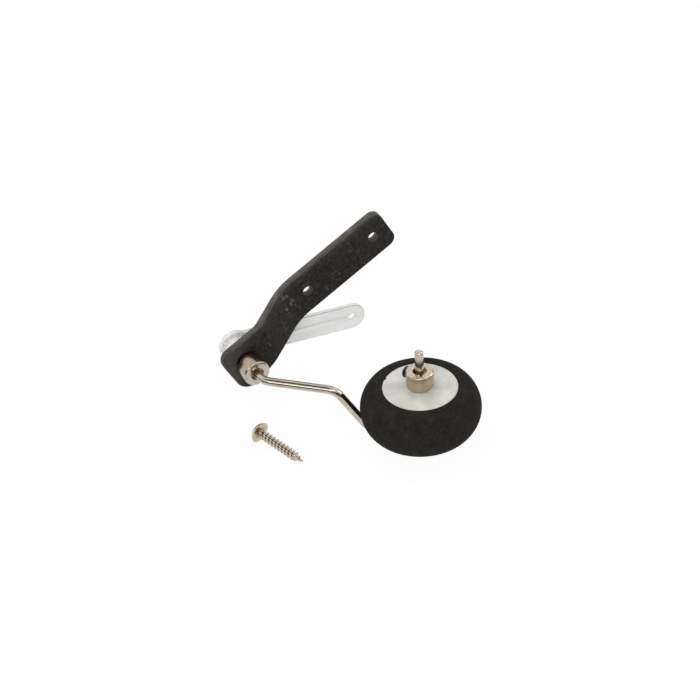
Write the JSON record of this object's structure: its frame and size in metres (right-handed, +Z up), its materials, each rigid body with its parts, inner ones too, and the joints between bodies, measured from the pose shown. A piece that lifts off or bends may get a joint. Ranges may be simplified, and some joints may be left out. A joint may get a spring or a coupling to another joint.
{
  "type": "tailwheel assembly",
  "caption": "Steerable model-aircraft tailwheel: joggled carbon bracket, bent wire strut with collars, clear tiller arm, foam wheel on a nylon hub and a loose fixing screw.",
  "frame": {"origin": "middle of the assembly's outline on the floor that it lies on", "axes": "+Z up and along the wheel axle, +Y along the steering post from the wheel towards the arm's mounting face, +X the way the tiller and the wheel trail"},
  "size_m": [0.0538, 0.0602, 0.0391],
  "materials": {
    "carbon": "satin carbon-fibre laminate",
    "bush_brass": "turned",
    "plated_wire": "bright nickel plate",
    "nickel": "bright nickel plate over turning marks",
    "black_steel": "black oxide",
    "clear_plastic": "clear moulded plastic",
    "hub_nylon": "translucent white nylon",
    "foam_rubber": "fine-celled foam rubber",
    "screw_nickel": "bright nickel plate"
  },
  "bodies": {
    "strut": {"strut_wire": "plated_wire", "steering_collar": "nickel", "steering_grub": "black_steel", "tiller_arm": "clear_plastic", "wheel_collar": "nickel", "wheel_grub": "black_steel", "fixing_screw": "screw_nickel"},
    "bracket": {"carbon_bracket": "carbon", "pivot_bush": "bush_brass"},
    "wheel": {"hub_outer": "hub_nylon", "hub_inner": "hub_nylon", "tyre": "foam_rubber"}
  },
  "joints": [
    {"name": "steering", "type": "hinge", "parent": "strut", "child": "bracket", "pos_m": [-0.0191, 0.02148, 0.0117], "axis": [0, -1, 0], "range_deg": [0, 294]},
    {"name": "wheel_spin", "type": "hinge", "parent": "strut", "child": "wheel", "pos_m": [0.01133, -0.01493, 0.0102], "axis": [0, 0, 1], "continuous": true}
  ]
}
